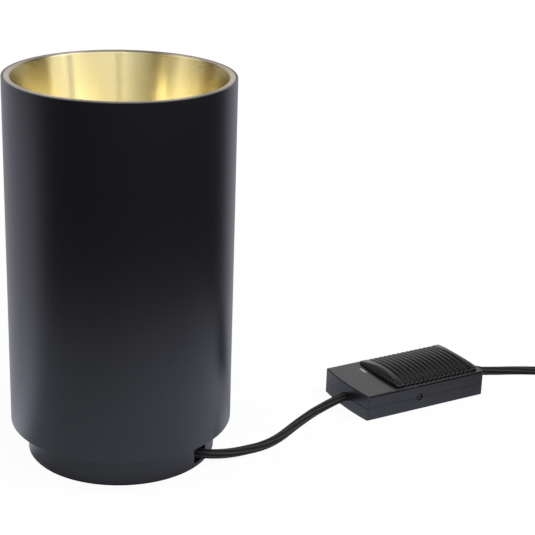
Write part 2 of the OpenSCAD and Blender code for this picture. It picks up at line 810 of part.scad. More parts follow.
module trimmer_screw() {
    slot_t = 0.8;
    face_y = -dimmer_w / 2 + trimmer_recess;
    color("#0f0f10") at_dimmer() translate([trimmer_x, face_y, split_h]) rotate([-90, 0, 0]) difference() {
        union() {
            cylinder(r = trimmer_r, h = trimmer_head_l);
            cylinder(r = trimmer_shaft_r, h = trimmer_head_l + slide_gap + trimmer_shaft_l);
        }
        translate([-trimmer_d, -slot_t / 2, -past]) cube([2 * trimmer_d, slot_t, past + 0.9]);
    }
}

module choke() {
    color("#b8742e") at_dimmer() translate([choke_at[0], choke_at[1], board_top + choke_wire_r])
        rotate_extrude() translate([choke_r, 0]) circle(r = choke_wire_r);
}

module heat_sink() {
    color("#aeb1b4") at_dimmer() translate([-18, 17.5, board_top]) cube([26, 1.5, 6.4]);
}

module triac() {
    color("#1a1a1a") at_dimmer() translate([-10, 13, board_top]) cube([10, 4.5, 6]);
}

module fuse() {
    r = 2.5;
    color("#cfd4d6") at_dimmer() translate([10, -14, board_top + r]) rotate([0, 90, 0]) {
        cylinder(r = r - 0.3, h = 20);
        for (x = [0, 15]) translate([0, 0, x]) cylinder(r = r, h = 5);
    }
}

module capacitor() {
    color("#b5402c") at_dimmer() translate([11, 11, board_top]) cube([18, 6, 5.5]);
}

module indicator_lamp() {
    lamp_r = 1.8;
    h = 6.4;
    color("#e9e6df") at_dimmer() translate([lens_at[0], lens_at[1], board_top]) {
        cylinder(r = lamp_r, h = h - lamp_r);
        translate([0, 0, h - lamp_r]) sphere(r = lamp_r);
    }
}

module indicator_lens() {
    color("#eceff0") at_dimmer() on_deck() translate([lens_at[0], lens_at[1], 0]) {
        translate([-lens_w / 2, -lens_l / 2, -deck_t]) cube([lens_w, lens_l, deck_t]);
        translate([-lens_w / 2 - lens_flange, -lens_l / 2 - lens_flange, -deck_t - lens_flange_t])
            cube([lens_w + 2 * lens_flange, lens_l + 2 * lens_flange, lens_flange_t]);
    }
}

module dimmer_terminals() {
    color("#3f7d4a") at_dimmer() for (s = [-1, 1])
        translate([s * (board_l - terminal_size[0]) / 2 - terminal_size[0] / 2, -terminal_size[1] / 2,
            board_top]) cube(terminal_size);
}

module dimmer_leads() {
    from = board_l / 2;
    to = mid_l / 2 - cord_in;
    color("#6b4a2c") at_dimmer() for (sx = [-1, 1], sy = [-1, 1])
        translate([sx * from, sy * core_spread, entry_z + dimmer_core_d / 2])
            rotate([0, sx * 90, 0]) cylinder(d = dimmer_core_d, h = to - from);
}

module cord_clamps() {
    l = 2 * clamp_y + clamp_post_d;
    color("#c9ccce") at_dimmer() difference() {
        for (s = [-1, 1]) translate([s * clamp_x - clamp_l / 2, -l / 2, clamp_top])
            cube([clamp_l, l, clamp_t]);
        at_clamp_posts() translate([0, 0, clamp_top - past])
            cylinder(d = clamp_screw_d + 2 * fit_gap, h = clamp_t + 2 * past);
    }
}

module clamp_screws() {
    head_t = 1;
    color("#8d8f92") at_dimmer() at_clamp_posts() translate([0, 0, clamp_top]) {
        translate([0, 0, clamp_t]) cylinder(d = 3, h = head_t);
        translate([0, 0, -2]) cylinder(d = clamp_screw_d, h = clamp_t + 2);
    }
}

module case_screws() {
    head_z = pad_foot_t + case_screw_head_t;
    color("#8d8f92") at_dimmer() at_case_screws() {
        translate([0, 0, pad_foot_t]) cylinder(d = case_screw_head_d, h = case_screw_head_t);
        translate([0, 0, head_z]) cylinder(d = case_screw_d, h = split_h + case_screw_grip - head_z);
    }
}

module dimmer_feet() {
    foot_l = 16;
    foot_wide = 8;
    color("#121212") at_dimmer() for (sx = [-1, 1], sy = [-1, 1])
        translate([sx * (dimmer_l / 2 - boss_inset - foot_l), sy * (dimmer_w / 2 - boss_inset), 0])
            slab(rounded(foot_l, foot_wide, 2), 0, pad_foot_t);
}

// Cord, coil and plug

module cord_lamp() {
    color("#26262a") swept(lamp_route, cord_r, cord_sides);
}

module cord_mains() {
    color("#26262a") swept(mains_route, cord_r, cord_sides);
}

// A point of the coil after so many turns: it winds in on the floor, climbs, and winds out on top
function coil_point(turns) = let (
    r = coil_in_r + coil_pitch * abs(layer_turns - turns),
    a = 90 - 360 * turns,
    climb = min(max((turns - layer_turns) / climb_turns + 0.5, 0), 1))
    [coil_at[0] + r * cos(a), coil_at[1] + r * sin(a), coil_z + coil_pitch * climb];

coil_rings = 2 * layer_turns * coil_steps;
coil_path = [for (i = [0:coil_rings]) coil_point(i / coil_steps)];
coil_least_gap = min([for (i = [0:coil_rings], j = [i + coil_steps / 2:coil_rings])
    norm(coil_path[i] - coil_path[j])]) - cord_d;

module cord_coil() {
    echo(str("least gap between turns of the coil, mm: ", coil_least_gap));
    color("#26262a") swept(concat([coil_start - [cord_d, 0, 0]], coil_path, [coil_end - [0, cord_d, 0]]),
        cord_r, coil_sides);
}

module cord_tail() {
    color("#26262a") swept(tail_route, cord_r, cord_sides);
}

module coil_tie() {
    low_r = coil_in_r - cord_r - tie_side_gap;
    high_r = coil_r + cord_r + tie_side_gap;
    top = coil_z + coil_pitch + cord_r + coil_gap;
    color("#3c3c40") translate([coil_at[0], coil_at[1], 0]) rotate([0, 0, tie_angle]) difference() {
        translate([low_r - tie_t, -tie_w / 2, 0]) cube([high_r - low_r + 2 * tie_t, tie_w, top + tie_t]);
        translate([low_r, -tie_w, tie_t]) cube([high_r - low_r, 2 * tie_w, top - tie_t]);
    }
}

// Seen from above, the plug is widest at its pins and narrows towards the cord
module plug_body() {
    front = plug_y - plug_l;
    half = plug_w / 2;
    corner = 3;
    above = concat(arc([half - corner, front + corner], corner, -90, 0, 4),
        [[half, front + plug_front_l], [plug_rear_w / 2, plug_y], [-plug_rear_w / 2, plug_y],
            [-half, front + plug_front_l]],
        arc([corner - half, front + corner], corner, 180, 270, 4));
    side = [[front, 0], [plug_y, 0], [plug_y, plug_rear_t], [front + plug_front_l, plug_t], [front, plug_t]];
    color("#151517") translate([plug_x, 0, 0]) intersection() {
        slab(above, 0, plug_t);
        rotate([90, 0, 90]) linear_extrude(2 * plug_w, center = true) polygon(side);
    }
}

module plug_boot() {
    color("#151517") translate([plug_x, boot_y, plug_z]) rotate([90, 0, 0]) difference() {
        cylinder(r1 = boot_thin_r, r2 = boot_thick_r, h = boot_l);
        translate([0, 0, -past]) cylinder(r = cord_r + fit_gap, h = boot_l + 2 * past);
    }
}

module plug_pins() {
    color("#c9b36a") for (s = [-1, 1]) translate([plug_x + s * pin_pitch / 2, plug_y - plug_l, plug_z])
        rotate([90, 0, 0]) cylinder(d = pin_d, h = pin_l);
}

outer_tube();
tube_floor();
reflector();
base_shell();
ballast();
bottom_plate();
foot_ring();
base_screws();
centre_rod();
rod_nuts();
holder_cap();
holder_core();
holder_shell();
holder_ring();
screw_sleeve();
centre_contact();
bulb_cap();
bulb_collar();
bulb_globe();
cord_grip();
terminal_block();
cord_cores();
inner_leads();
dimmer_base();
dimmer_cover();
slider_pad();
slider_carriage();
slider_screw();
pot_lever();
slide_pot();
dimmer_board();
trimmer_pot();
trimmer_screw();
choke();
heat_sink();
triac();
fuse();
capacitor();
indicator_lamp();
indicator_lens();
dimmer_terminals();
dimmer_leads();
cord_clamps();
clamp_screws();
case_screws();
dimmer_feet();
cord_lamp();
cord_mains();
cord_coil();
cord_tail();
coil_tie();
plug_body();
plug_boot();
plug_pins();
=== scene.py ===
import math

import bmesh
import bpy
from mathutils import Matrix, Vector


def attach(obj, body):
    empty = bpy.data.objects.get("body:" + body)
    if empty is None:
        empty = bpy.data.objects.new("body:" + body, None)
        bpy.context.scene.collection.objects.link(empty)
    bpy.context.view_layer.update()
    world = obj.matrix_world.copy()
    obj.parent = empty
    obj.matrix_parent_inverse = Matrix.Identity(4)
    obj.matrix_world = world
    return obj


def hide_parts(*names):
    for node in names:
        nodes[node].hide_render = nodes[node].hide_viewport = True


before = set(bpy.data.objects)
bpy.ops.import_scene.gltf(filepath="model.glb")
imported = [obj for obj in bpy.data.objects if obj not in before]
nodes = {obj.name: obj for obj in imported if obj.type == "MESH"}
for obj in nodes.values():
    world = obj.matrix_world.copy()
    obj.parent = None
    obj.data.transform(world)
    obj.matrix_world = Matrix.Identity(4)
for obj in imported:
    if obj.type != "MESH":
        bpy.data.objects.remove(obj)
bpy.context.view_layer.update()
scene = bpy.context.scene
scene.view_settings.view_transform = "Standard"

MM = 0.001
TAU = 2 * math.pi

# Braid: yarns each way, their lead in millimetres, and the painted sheen streaks with theirs
YARNS = 12.0
YARN_LEAD = 1.7
STREAKS = 7.0
STREAK_LAY = 60
# Strap: picks across and ribs along, in millimetres
STRAP_PICK = 0.7
STRAP_RIB = 1.0
# The set-point screw's joint, in metres
SCREW_AT = (0.2110615, 0.0705808, 0.01)
SCREW_AXIS = (0.509041, -0.860742, 0)
# The tube's and the reflector's top, in millimetres
TUBE_TOP = 260


# Camera: fitted to the tube's rims and silhouettes in the photograph

CAMERA_AT = Vector((97.483, -917.115, 472.055)) * MM
CAMERA_PITCH = math.radians(20.3037)
CAMERA_ROLL = math.radians(1.9162)
CAMERA_LENS = 98.99
SENSOR = 36


def add_camera():
    pitch, roll = CAMERA_PITCH, CAMERA_ROLL
    forward = Vector((0, math.cos(pitch), -math.sin(pitch)))
    level = Vector((1, 0, 0))
    rise = Vector((0, math.sin(pitch), math.cos(pitch)))
    right = math.cos(roll) * level + math.sin(roll) * rise
    up = math.cos(roll) * rise - math.sin(roll) * level
    camera = bpy.data.cameras.new("camera")
    camera.lens = CAMERA_LENS
    camera.sensor_width = SENSOR
    camera.clip_start = 0.01
    obj = bpy.data.objects.new("camera", camera)
    scene.collection.objects.link(obj)
    turn = Matrix((right, up, -forward)).transposed().to_4x4()
    obj.matrix_world = Matrix.Translation(CAMERA_AT) @ turn
    scene.camera = obj


add_camera()


# Node trees

class Tree:
    """A material's or world's nodes, with short calls for the common ones."""

    def __init__(self, tree):
        self.tree = tree
        self.tree.nodes.clear()

    def add(self, kind, **values):
        node = self.tree.nodes.new(kind)
        for key, value in values.items():
            setattr(node, key, value)
        return node

    def link(self, out, into):
        self.tree.links.new(out, into)

    def put(self, value, socket):
        if isinstance(value, (int, float, tuple)):
            socket.default_value = value
        else:
            self.link(value, socket)

    def math(self, operation, a, b=0.0):
        node = self.add("ShaderNodeMath", operation=operation)
        self.put(a, node.inputs[0])
        self.put(b, node.inputs[1])
        return node.outputs[0]

    def span(self, value, low, high, to_low, to_high):
        """A soft step from to_low at low to to_high at high."""
        node = self.add("ShaderNodeMapRange", interpolation_type="SMOOTHSTEP")
        self.put(value, node.inputs[0])
        for i, v in enumerate((low, high, to_low, to_high)):
            self.put(v, node.inputs[i + 1])
        return node.outputs[0]

    def mix(self, factor, a, b):
        node = self.add("ShaderNodeMix", data_type="RGBA")
        self.put(factor, node.inputs[0])
        self.put(a, node.inputs[6])
        self.put(b, node.inputs[7])
        return node.outputs[2]

    def noise(self, vector, scale, detail=3.0):
        node = self.add("ShaderNodeTexNoise")
        self.link(vector, node.inputs["Vector"])
        node.inputs["Scale"].default_value = scale
        node.inputs["Detail"].default_value = detail
        return node.outputs["Fac"]

    def place(self):
        return self.add("ShaderNodeTexCoord").outputs["Object"]

    def stretched(self, vector, scale):
        node = self.add("ShaderNodeMapping")
        self.link(vector, node.inputs["Vector"])
        node.inputs["Scale"].default_value = scale
        return node.outputs["Vector"]

    def bump(self, height, distance, strength=1.0):
        node = self.add("ShaderNodeBump")
        node.inputs["Strength"].default_value = strength
        node.inputs["Distance"].default_value = distance
        self.link(height, node.inputs["Height"])
        return node.outputs["Normal"]


def surface(name, **sockets):
    """A material with one Principled shader, whose sockets are set by name.

    Gives the material, its tree and its shader.
    """
    material = bpy.data.materials.new(name)
    material.use_nodes = True
    tree = Tree(material.node_tree)
    shader = tree.add("ShaderNodeBsdfPrincipled")
    out = tree.add("ShaderNodeOutputMaterial")
    tree.link(shader.outputs[0], out.inputs["Surface"])
    for key, value in sockets.items():
        shader.inputs[key.replace("_", " ")].default_value = value
    return material, tree, shader


def ray_kinds(t):
    """Light Path's camera ray, and the rays that reflections and glass send out."""
    rays = t.add("ShaderNodeLightPath")
    mirrored = t.math("MAXIMUM", rays.outputs["Is Glossy Ray"], rays.outputs["Is Transmission Ray"])
    return rays.outputs["Is Camera Ray"], mirrored


def dot(t, vector, axis):
    node = t.add("ShaderNodeVectorMath", operation="DOT_PRODUCT")
    t.link(vector, node.inputs[0])
    node.inputs[1].default_value = axis
    return node.outputs["Value"]


def unit(t, vector):
    node = t.add("ShaderNodeVectorMath", operation="NORMALIZE")
    t.link(vector, node.inputs[0])
    return node.outputs["Vector"]


def grey(v):
    return (v, v, v, 1.0)


def mottled(tree, shader, dark, light, scale):
    """Lets the base colour wander between two tones."""
    n = tree.noise(tree.place(), scale, 4.0)
    tree.link(tree.mix(tree.span(n, 0.3, 0.7, 0.0, 1.0), dark, light), shader.inputs["Base Color"])


def rough_noise(tree, shader, low, high, scale):
    """Lets the roughness wander between two values."""
    n = tree.noise(tree.place(), scale, 3.0)
    tree.link(tree.span(n, 0.3, 0.7, low, high), shader.inputs["Roughness"])


def satin_paint():
    """Black satin paint with a faint orange peel."""
    m, t, s = surface("satin_black_paint", Specular_IOR_Level=0.65)
    mottled(t, s, (0.003, 0.0028, 0.0045, 1), (0.0036, 0.0034, 0.0053, 1), 420)
    rough_noise(t, s, 0.32, 0.345, 700)
    fine = t.noise(t.place(), 2600, 2.0)
    t.link(t.bump(fine, 0.00002, 0.35), s.inputs["Normal"])
    return m


def spun_brass():
    """Turned brass: fine rings round the axis, a highlight drawn out across them, a paler satin rim."""
    m, t, s = surface("spun_brass", Metallic=1.0, Anisotropic=0.97, Anisotropic_Rotation=0.25)
    place = t.place()
    rings = t.noise(t.stretched(place, (4.0, 4.0, 1500.0)), 1.0, 2.0)
    broad = t.noise(t.stretched(place, (14.0, 14.0, 60.0)), 1.0, 2.0)
    tone = t.math("ADD", t.math("MULTIPLY", rings, 0.5), t.math("MULTIPLY", broad, 0.5))
    cup = t.mix(t.span(tone, 0.35, 0.65, 0.0, 1.0), (0.87, 0.76, 0.42, 1), (0.89, 0.785, 0.45, 1))
    split = t.add("ShaderNodeSeparateXYZ")
    t.link(place, split.inputs[0])
    rim = t.span(split.outputs[2], (TUBE_TOP - 1.0) * MM, (TUBE_TOP - 0.3) * MM, 0.0, 1.0)
    t.link(t.mix(rim, cup, (0.47, 0.40, 0.30, 1)), s.inputs["Base Color"])
    rough = t.math("ADD", t.span(rings, 0.3, 0.7, 0.252, 0.264), t.math("MULTIPLY", rim, 0.1))
    t.link(rough, s.inputs["Roughness"])
    tangent = t.add("ShaderNodeTangent", direction_type="RADIAL", axis="Z")
    t.link(tangent.outputs[0], s.inputs["Tangent"])
    t.link(t.bump(rings, 0.000001, 0.15), s.inputs["Normal"])
    return m


def moulded(name, dark, light, rough, grain=1500, depth=0.00003, strength=0.5, gloss=0.5, spread=0.045):
    """Plastic or rubber from a mould, with a grain of the given scale, depth and strength."""
    m, t, s = surface(name, Specular_IOR_Level=gloss)
    mottled(t, s, dark, light, 90)
    rough_noise(t, s, rough - spread, rough + spread, 300)
    n = t.noise(t.place(), grain, 2.0)
    t.link(t.bump(n, depth, strength), s.inputs["Normal"])
    return m


def metal(name, colour, rough, scale=900):
    """Bare or plated metal, a little stained."""
    m, t, s = surface(name, Metallic=1.0)
    dark = tuple(0.85 * c for c in colour[:3]) + (1.0,)
    mottled(t, s, dark, colour, 250)
    rough_noise(t, s, rough - 0.05, rough + 0.07, scale)
    n = t.noise(t.place(), scale, 3.0)
    t.link(t.bump(n, 0.00001, 0.4), s.inputs["Normal"])
    return m


def braid():
    """Two sets of yarns that cross over and under each other, with paler streaks along the cord that are
    painted sheen, and a darker colour where the yarns dip that is painted shade.

    The mesh's UV runs in millimetres along the cord and in turns around it.
    """
    m, t, s = surface("textile_braid", Roughness=0.6, Specular_IOR_Level=0.2, Sheen_Weight=0.02,
                      Sheen_Roughness=0.5)
    uv = t.add("ShaderNodeTexCoord").outputs["UV"]
    split = t.add("ShaderNodeSeparateXYZ")
    t.link(uv, split.inputs[0])
    along, around = split.outputs[0], split.outputs[1]
    yarns = t.math("MULTIPLY", around, YARNS)
    lead = t.math("MULTIPLY", along, 1.0 / YARN_LEAD)
    one = t.math("ADD", yarns, lead)
    two = t.math("SUBTRACT", yarns, lead)
    humps = []
    for a in (one, two):
        f = t.math("FRACT", a)
        humps.append(t.math("SINE", t.math("MULTIPLY", f, math.pi)))
    cell = t.math("ADD", t.math("FLOOR", one), t.math("FLOOR", two))
    over = t.math("PINGPONG", cell, 1.0)
    pick = t.add("ShaderNodeMix", data_type="FLOAT")
    t.put(over, pick.inputs[0])
    t.put(humps[0], pick.inputs[2])
    t.put(humps[1], pick.inputs[3])
    height = pick.outputs[0]
    fuzz = t.noise(t.place(), 3500, 3.0)
    full = t.math("ADD", height, t.math("MULTIPLY", fuzz, 0.35))
    # Painted sheen: paler helical streaks laid round the cord.
    lay = t.math("ADD", t.math("MULTIPLY", around, STREAKS), t.math("MULTIPLY", along, 1.0 / STREAK_LAY))
    streak = t.span(t.math("SINE", t.math("MULTIPLY", lay, TAU)), -0.2, 1.0, 0.08, 1.0)
    # Painted shade: the colour darkens where the yarns dip, in the hollows between them.
    tone = t.math("MULTIPLY", t.span(full, 0.25, 1.2, 0.0, 1.0), streak)
    t.link(t.mix(tone, (0.0012, 0.0012, 0.0013, 1), (0.055, 0.055, 0.056, 1)), s.inputs["Base Color"])
    t.link(t.bump(full, 0.00025, 0.8), s.inputs["Normal"])
    return m


def webbing():
    """A flat woven strap with ribs along it and fine picks across; the mesh's UV is in millimetres."""
    m, t, s = surface("woven_strap", Roughness=0.8, Specular_IOR_Level=0.2, Sheen_Weight=0.05,
                      Sheen_Roughness=0.5)
    split = t.add("ShaderNodeSeparateXYZ")
    t.link(t.add("ShaderNodeTexCoord").outputs["UV"], split.inputs[0])
    picks = t.math("SINE", t.math("MULTIPLY", split.outputs[0], TAU / STRAP_PICK))
    ribs = t.math("SINE", t.math("MULTIPLY", split.outputs[1], TAU / STRAP_RIB))
    weave = t.math("MULTIPLY", picks, ribs)
    full = t.math("ADD", weave, t.noise(t.place(), 2600, 3.0))
    # Painted shade: darker where the weave dips, with a random tone from the noise.
    t.link(t.mix(t.span(full, -0.6, 1.5, 0.0, 1.0), grey(0.006), grey(0.035)), s.inputs["Base Color"])
    t.link(t.bump(full, 0.00012, 0.8), s.inputs["Normal"])
    return m


def slotted_screw():
    """Dark moulded screw whose head is paler towards its middle: painted shade darkens the rim of the head,
    as in its recess.
    """
    m, t, s = surface("set_point_screw", Roughness=0.4)
    off = t.add("ShaderNodeVectorMath", operation="SUBTRACT")
    t.link(t.place(), off.inputs[0])
    off.inputs[1].default_value = SCREW_AT
    along = t.add("ShaderNodeVectorMath", operation="SCALE")
    along.inputs[0].default_value = SCREW_AXIS
    t.link(dot(t, off.outputs[0], SCREW_AXIS), along.inputs["Scale"])
    across = t.add("ShaderNodeVectorMath", operation="DISTANCE")
    t.link(off.outputs[0], across.inputs[0])
    t.link(along.outputs[0], across.inputs[1])
    # Painted shade: dark round the head's rim, as in the recess it sits in; the noise makes that edge ragged.
    shade_jitter = t.math("MULTIPLY", t.noise(t.place(), 1800, 2.0), 0.0004)
    shade_reach = t.math("ADD", across.outputs["Value"], shade_jitter)
    t.link(t.mix(t.span(shade_reach, 0.0009, 0.0018, 1.0, 0.0), grey(0.002), grey(0.035)), s.inputs["Base Color"])
    t.link(t.bump(t.noise(t.place(), 1500, 2.0), 0.00002, 0.5), s.inputs["Normal"])
    return m


PAINT = satin_paint()
BRASS = spun_brass()
RUBBER = moulded("black_rubber", grey(0.003), grey(0.005), 0.75, 900, 0.00005, gloss=0.15)
CASE = moulded("dimmer_case", (0.010, 0.0098, 0.012, 1), (0.013, 0.0128, 0.015, 1), 0.24, 700, 0.000004, 0.1,
               spread=0.01)
PAD = moulded("dimmer_pad", (0.004, 0.004, 0.005, 1), (0.006, 0.006, 0.007, 1), 0.25, 700, 0.000004, 0.1,
              spread=0.02)
PLUG = moulded("plug_plastic", grey(0.014), grey(0.02), 0.45)
HOLDER = moulded("holder_plastic", grey(0.016), grey(0.022), 0.45)
PALE = moulded("pale_plastic", (0.6, 0.58, 0.5, 1), (0.68, 0.65, 0.57, 1), 0.5)
DARK_PART = moulded("component_plastic", (0.02, 0.022, 0.024, 1), (0.03, 0.032, 0.035, 1), 0.4)
BOARD = moulded("board_green", (0.02, 0.1, 0.035, 1), (0.03, 0.13, 0.045, 1), 0.35, 700)
TERMINAL = moulded("terminal_green", (0.05, 0.2, 0.08, 1), (0.07, 0.24, 0.1, 1), 0.45)
FILM = moulded("capacitor_red", (0.42, 0.07, 0.04, 1), (0.5, 0.1, 0.06, 1), 0.3)
CORE = moulded("core_brown", (0.1, 0.045, 0.02, 1), (0.13, 0.06, 0.03, 1), 0.35)
OPAL = moulded("opal_plastic", (0.82, 0.81, 0.77, 1), (0.87, 0.86, 0.82, 1), 0.5, 600)
LENS = moulded("lens_plastic", (0.24, 0.25, 0.27, 1), (0.3, 0.31, 0.33, 1), 0.2, 500, 0.00001)
CERAMIC = moulded("holder_ceramic", (0.7, 0.68, 0.62, 1), (0.76, 0.74, 0.68, 1), 0.6, 800)
STEEL = metal("plated_steel", (0.58, 0.58, 0.6, 1), 0.32)
IRON = metal("cast_iron", (0.1, 0.1, 0.1, 1), 0.6, 500)
CONTACT = metal("contact_brass", (0.78, 0.6, 0.28, 1), 0.25)
ALUMINIUM = metal("aluminium", (0.78, 0.78, 0.79, 1), 0.35)
COPPER = metal("enamelled_wire", (0.6, 0.28, 0.1, 1), 0.3)
TEXTILE = braid()
WEBBING = webbing()
SET_POINT = slotted_screw()

FINISH = {
    "outer_tube": PAINT, "tube_floor": PAINT, "base_shell": PAINT, "bottom_plate": PAINT,
    "reflector": BRASS, "ballast": IRON, "foot_ring": RUBBER, "cord_grip": RUBBER, "dimmer_feet": RUBBER,
    "base_screws": STEEL, "centre_rod": STEEL, "rod_nuts": STEEL, "slider_screw": STEEL, "pot_lever": STEEL,
    "fuse": STEEL, "cord_clamps": STEEL, "clamp_screws": STEEL, "case_screws": STEEL,
    "holder_cap": HOLDER, "holder_shell": HOLDER, "holder_ring": HOLDER, "holder_core": CERAMIC,
    "screw_sleeve": CONTACT, "centre_contact": CONTACT, "plug_pins": CONTACT,
    "bulb_cap": ALUMINIUM, "heat_sink": ALUMINIUM, "bulb_collar": OPAL, "bulb_globe": OPAL,
    "terminal_block": PALE, "slider_carriage": PALE, "cord_cores": CORE, "inner_leads": CORE,
    "dimmer_leads": CORE, "dimmer_base": CASE, "dimmer_cover": CASE, "slider_pad": PAD,
    "trimmer_screw": SET_POINT, "slide_pot": DARK_PART, "trimmer_pot": DARK_PART, "triac": DARK_PART,
    "dimmer_board": BOARD, "dimmer_terminals": TERMINAL, "capacitor": FILM, "choke": COPPER,
    "indicator_lamp": LENS, "indicator_lens": LENS, "coil_tie": WEBBING, "plug_body": PLUG, "plug_boot": PLUG,
    "cord_lamp": TEXTILE, "cord_mains": TEXTILE, "cord_coil": TEXTILE, "cord_tail": TEXTILE,
}
for name, obj in nodes.items():
    obj.data.materials.clear()
    obj.data.materials.append(FINISH[name])


# Cord: the routes of the solids, in millimetres

# The dimmer: where the lamp's cord enters it, its turn, its length over the bowed ends
ENTRY = Vector((157.02, 67.662))
TURN = math.radians(30.6)
LENGTH = 108
# The cord: its height in the dimmer, its thickness
ENTRY_Z = 8.3
CORD_D = 6.5
# The coil: its middle, the height of its lower layer, the turn of its strap in degrees
COIL_AT = Vector((362, 86, 0))
COIL_Z = 4.4
STRAP_TURN = -120


def in_dimmer(side, depth):
    """A place on the dimmer's axis, at a depth from the end towards the lamp (-1) or the plug (1)."""
    along = LENGTH / 2 + side * (LENGTH / 2 - depth)
    p = ENTRY + along * Vector((math.cos(TURN), math.sin(TURN)))
    return (p.x, p.y, ENTRY_Z)


LAMP_ROUTE = [(34.9, -29.5, 8.25), (43, -29.5, 8.25), (50, -29.5, 8.25), (57, -29.4, 8.2), (63.5, -28.4, 7.6),
              (70, -25.8, 6.6), (76, -21.9, 5.4), (82, -17.4, 4.4), (88, -13, 3.8), (94, -8.7, 3.4),
              (99.5, -4.2, 3.3), (105, 1.6, 3.3), (110.5, 9.3, 3.3), (116, 18.8, 3.3), (122, 29.6, 3.3),
              (128, 39.6, 3.3), (133.5, 48.2, 3.4), (139, 54.6, 4), (144.4, 59.3, 5.2), (149.8, 62.7, 6.8),
              (154.4, 65.8, 7.9), in_dimmer(-1, -0.2), in_dimmer(-1, 4), in_dimmer(-1, 10)]
MAINS_ROUTE = [in_dimmer(1, 10), in_dimmer(1, 4), in_dimmer(1, 0), (254.4, 125, 8), (258.4, 127.1, 7.2),
               (262.3, 128.8, 6.1), (266.2, 130.1, 4.9), (273.3, 132.6, 4.05), (281.2, 134.5, 3.55),
               (290.1, 136, 3.4), (300, 137.1, 3.3), (310, 137.5, 3.3), (322, 137.5, 3.6), (336, 137.5, 4),
               (347, 137.5, 4.4), (355.5, 137.5, 4.4)]
TAIL_ROUTE = [(413.5, 79.5, 11.4), (413.5, 73, 11.4), (413.5, 66, 10.9), (413.5, 59, 9.7), (413.5, 52, 8.3),
              (413.5, 46, 7.3), (413.5, 40, 6.85), (413.5, 34, 6.85), (413.5, 15, 6.85)]


def coil_route():
    """Two layers of the flat coil: inwards below, then outwards on top."""
    turns, pitch, outer, steps, climb_turns = 3.625, 7.0, 51.5, 24, 0.5
    points = []
    for i in range(int(2 * turns * steps) + 1):
        s = i / steps
        r = outer - pitch * turns + pitch * abs(turns - s)
        a = math.radians(90 - 360 * s)
        climb = min(max((s - turns) / climb_turns + 0.5, 0), 1)
        points.append((COIL_AT.x + r * math.cos(a), COIL_AT.y + r * math.sin(a), COIL_Z + pitch * climb))
    return points


def smooth(points, step):
    """Points about one step apart on a Catmull-Rom curve through the given ones."""
    p = [Vector(q) for q in points]
    p = [2 * p[0] - p[1]] + p + [2 * p[-1] - p[-2]]
    out = []
    for a, b, c, d in zip(p, p[1:], p[2:], p[3:]):
        n = max(1, round((c - b).length / step))
        for i in range(n):
            t = i / n
            out.append(0.5 * (2 * b + (c - a) * t + (2 * a - 5 * b + 4 * c - d) * t * t
                              + (3 * b - a - 3 * c + d) * t ** 3))
    return out + [p[-2]]


def tube_mesh(name, path, radius, sides):
    """A closed tube along a path in millimetres; its UV runs in millimetres along and turns around."""
    mesh = bmesh.new()
    layer = mesh.loops.layers.uv.new("UVMap")
    rings, along = [], [0.0]
    side = None
    for i, p in enumerate(path):
        ahead = (path[min(i + 1, len(path) - 1)] - path[max(i - 1, 0)]).normalized()
        if side is None:
            side = ahead.cross(Vector((0, 0, 1))).normalized()
        side = (side - ahead * side.dot(ahead)).normalized()
        other = side.cross(ahead)
        rings.append([mesh.verts.new((p + radius * (math.cos(TAU * k / sides) * side
                                                    + math.sin(TAU * k / sides) * other)) * MM)
                      for k in range(sides)])
        if i:
            along.append(along[-1] + (p - path[i - 1]).length)
    for i in range(len(rings) - 1):
        for k in range(sides):
            n = (k + 1) % sides
            face = mesh.faces.new((rings[i][k], rings[i][n], rings[i + 1][n], rings[i + 1][k]))
            face.smooth = True
            for loop, (u, v) in zip(face.loops, ((i, k), (i, k + 1), (i + 1, k + 1), (i + 1, k))):
                loop[layer].uv = (along[u], v / sides)
    mesh.faces.new(rings[0])
    mesh.faces.new(reversed(rings[-1]))
    bmesh.ops.recalc_face_normals(mesh, faces=mesh.faces)
    data = bpy.data.meshes.new(name)
    mesh.to_mesh(data)
    mesh.free()
    return data


def add_piece(name, data, body, material, slot, *replaced):
    """A new piece on a body, with its material, in place of the CAD nodes named. Its slot is not used."""
    obj = bpy.data.objects.new(name, data)
    scene.collection.objects.link(obj)
    data.materials.append(material)
    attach(obj, body)
    if replaced:
        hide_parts(*replaced)
    return obj


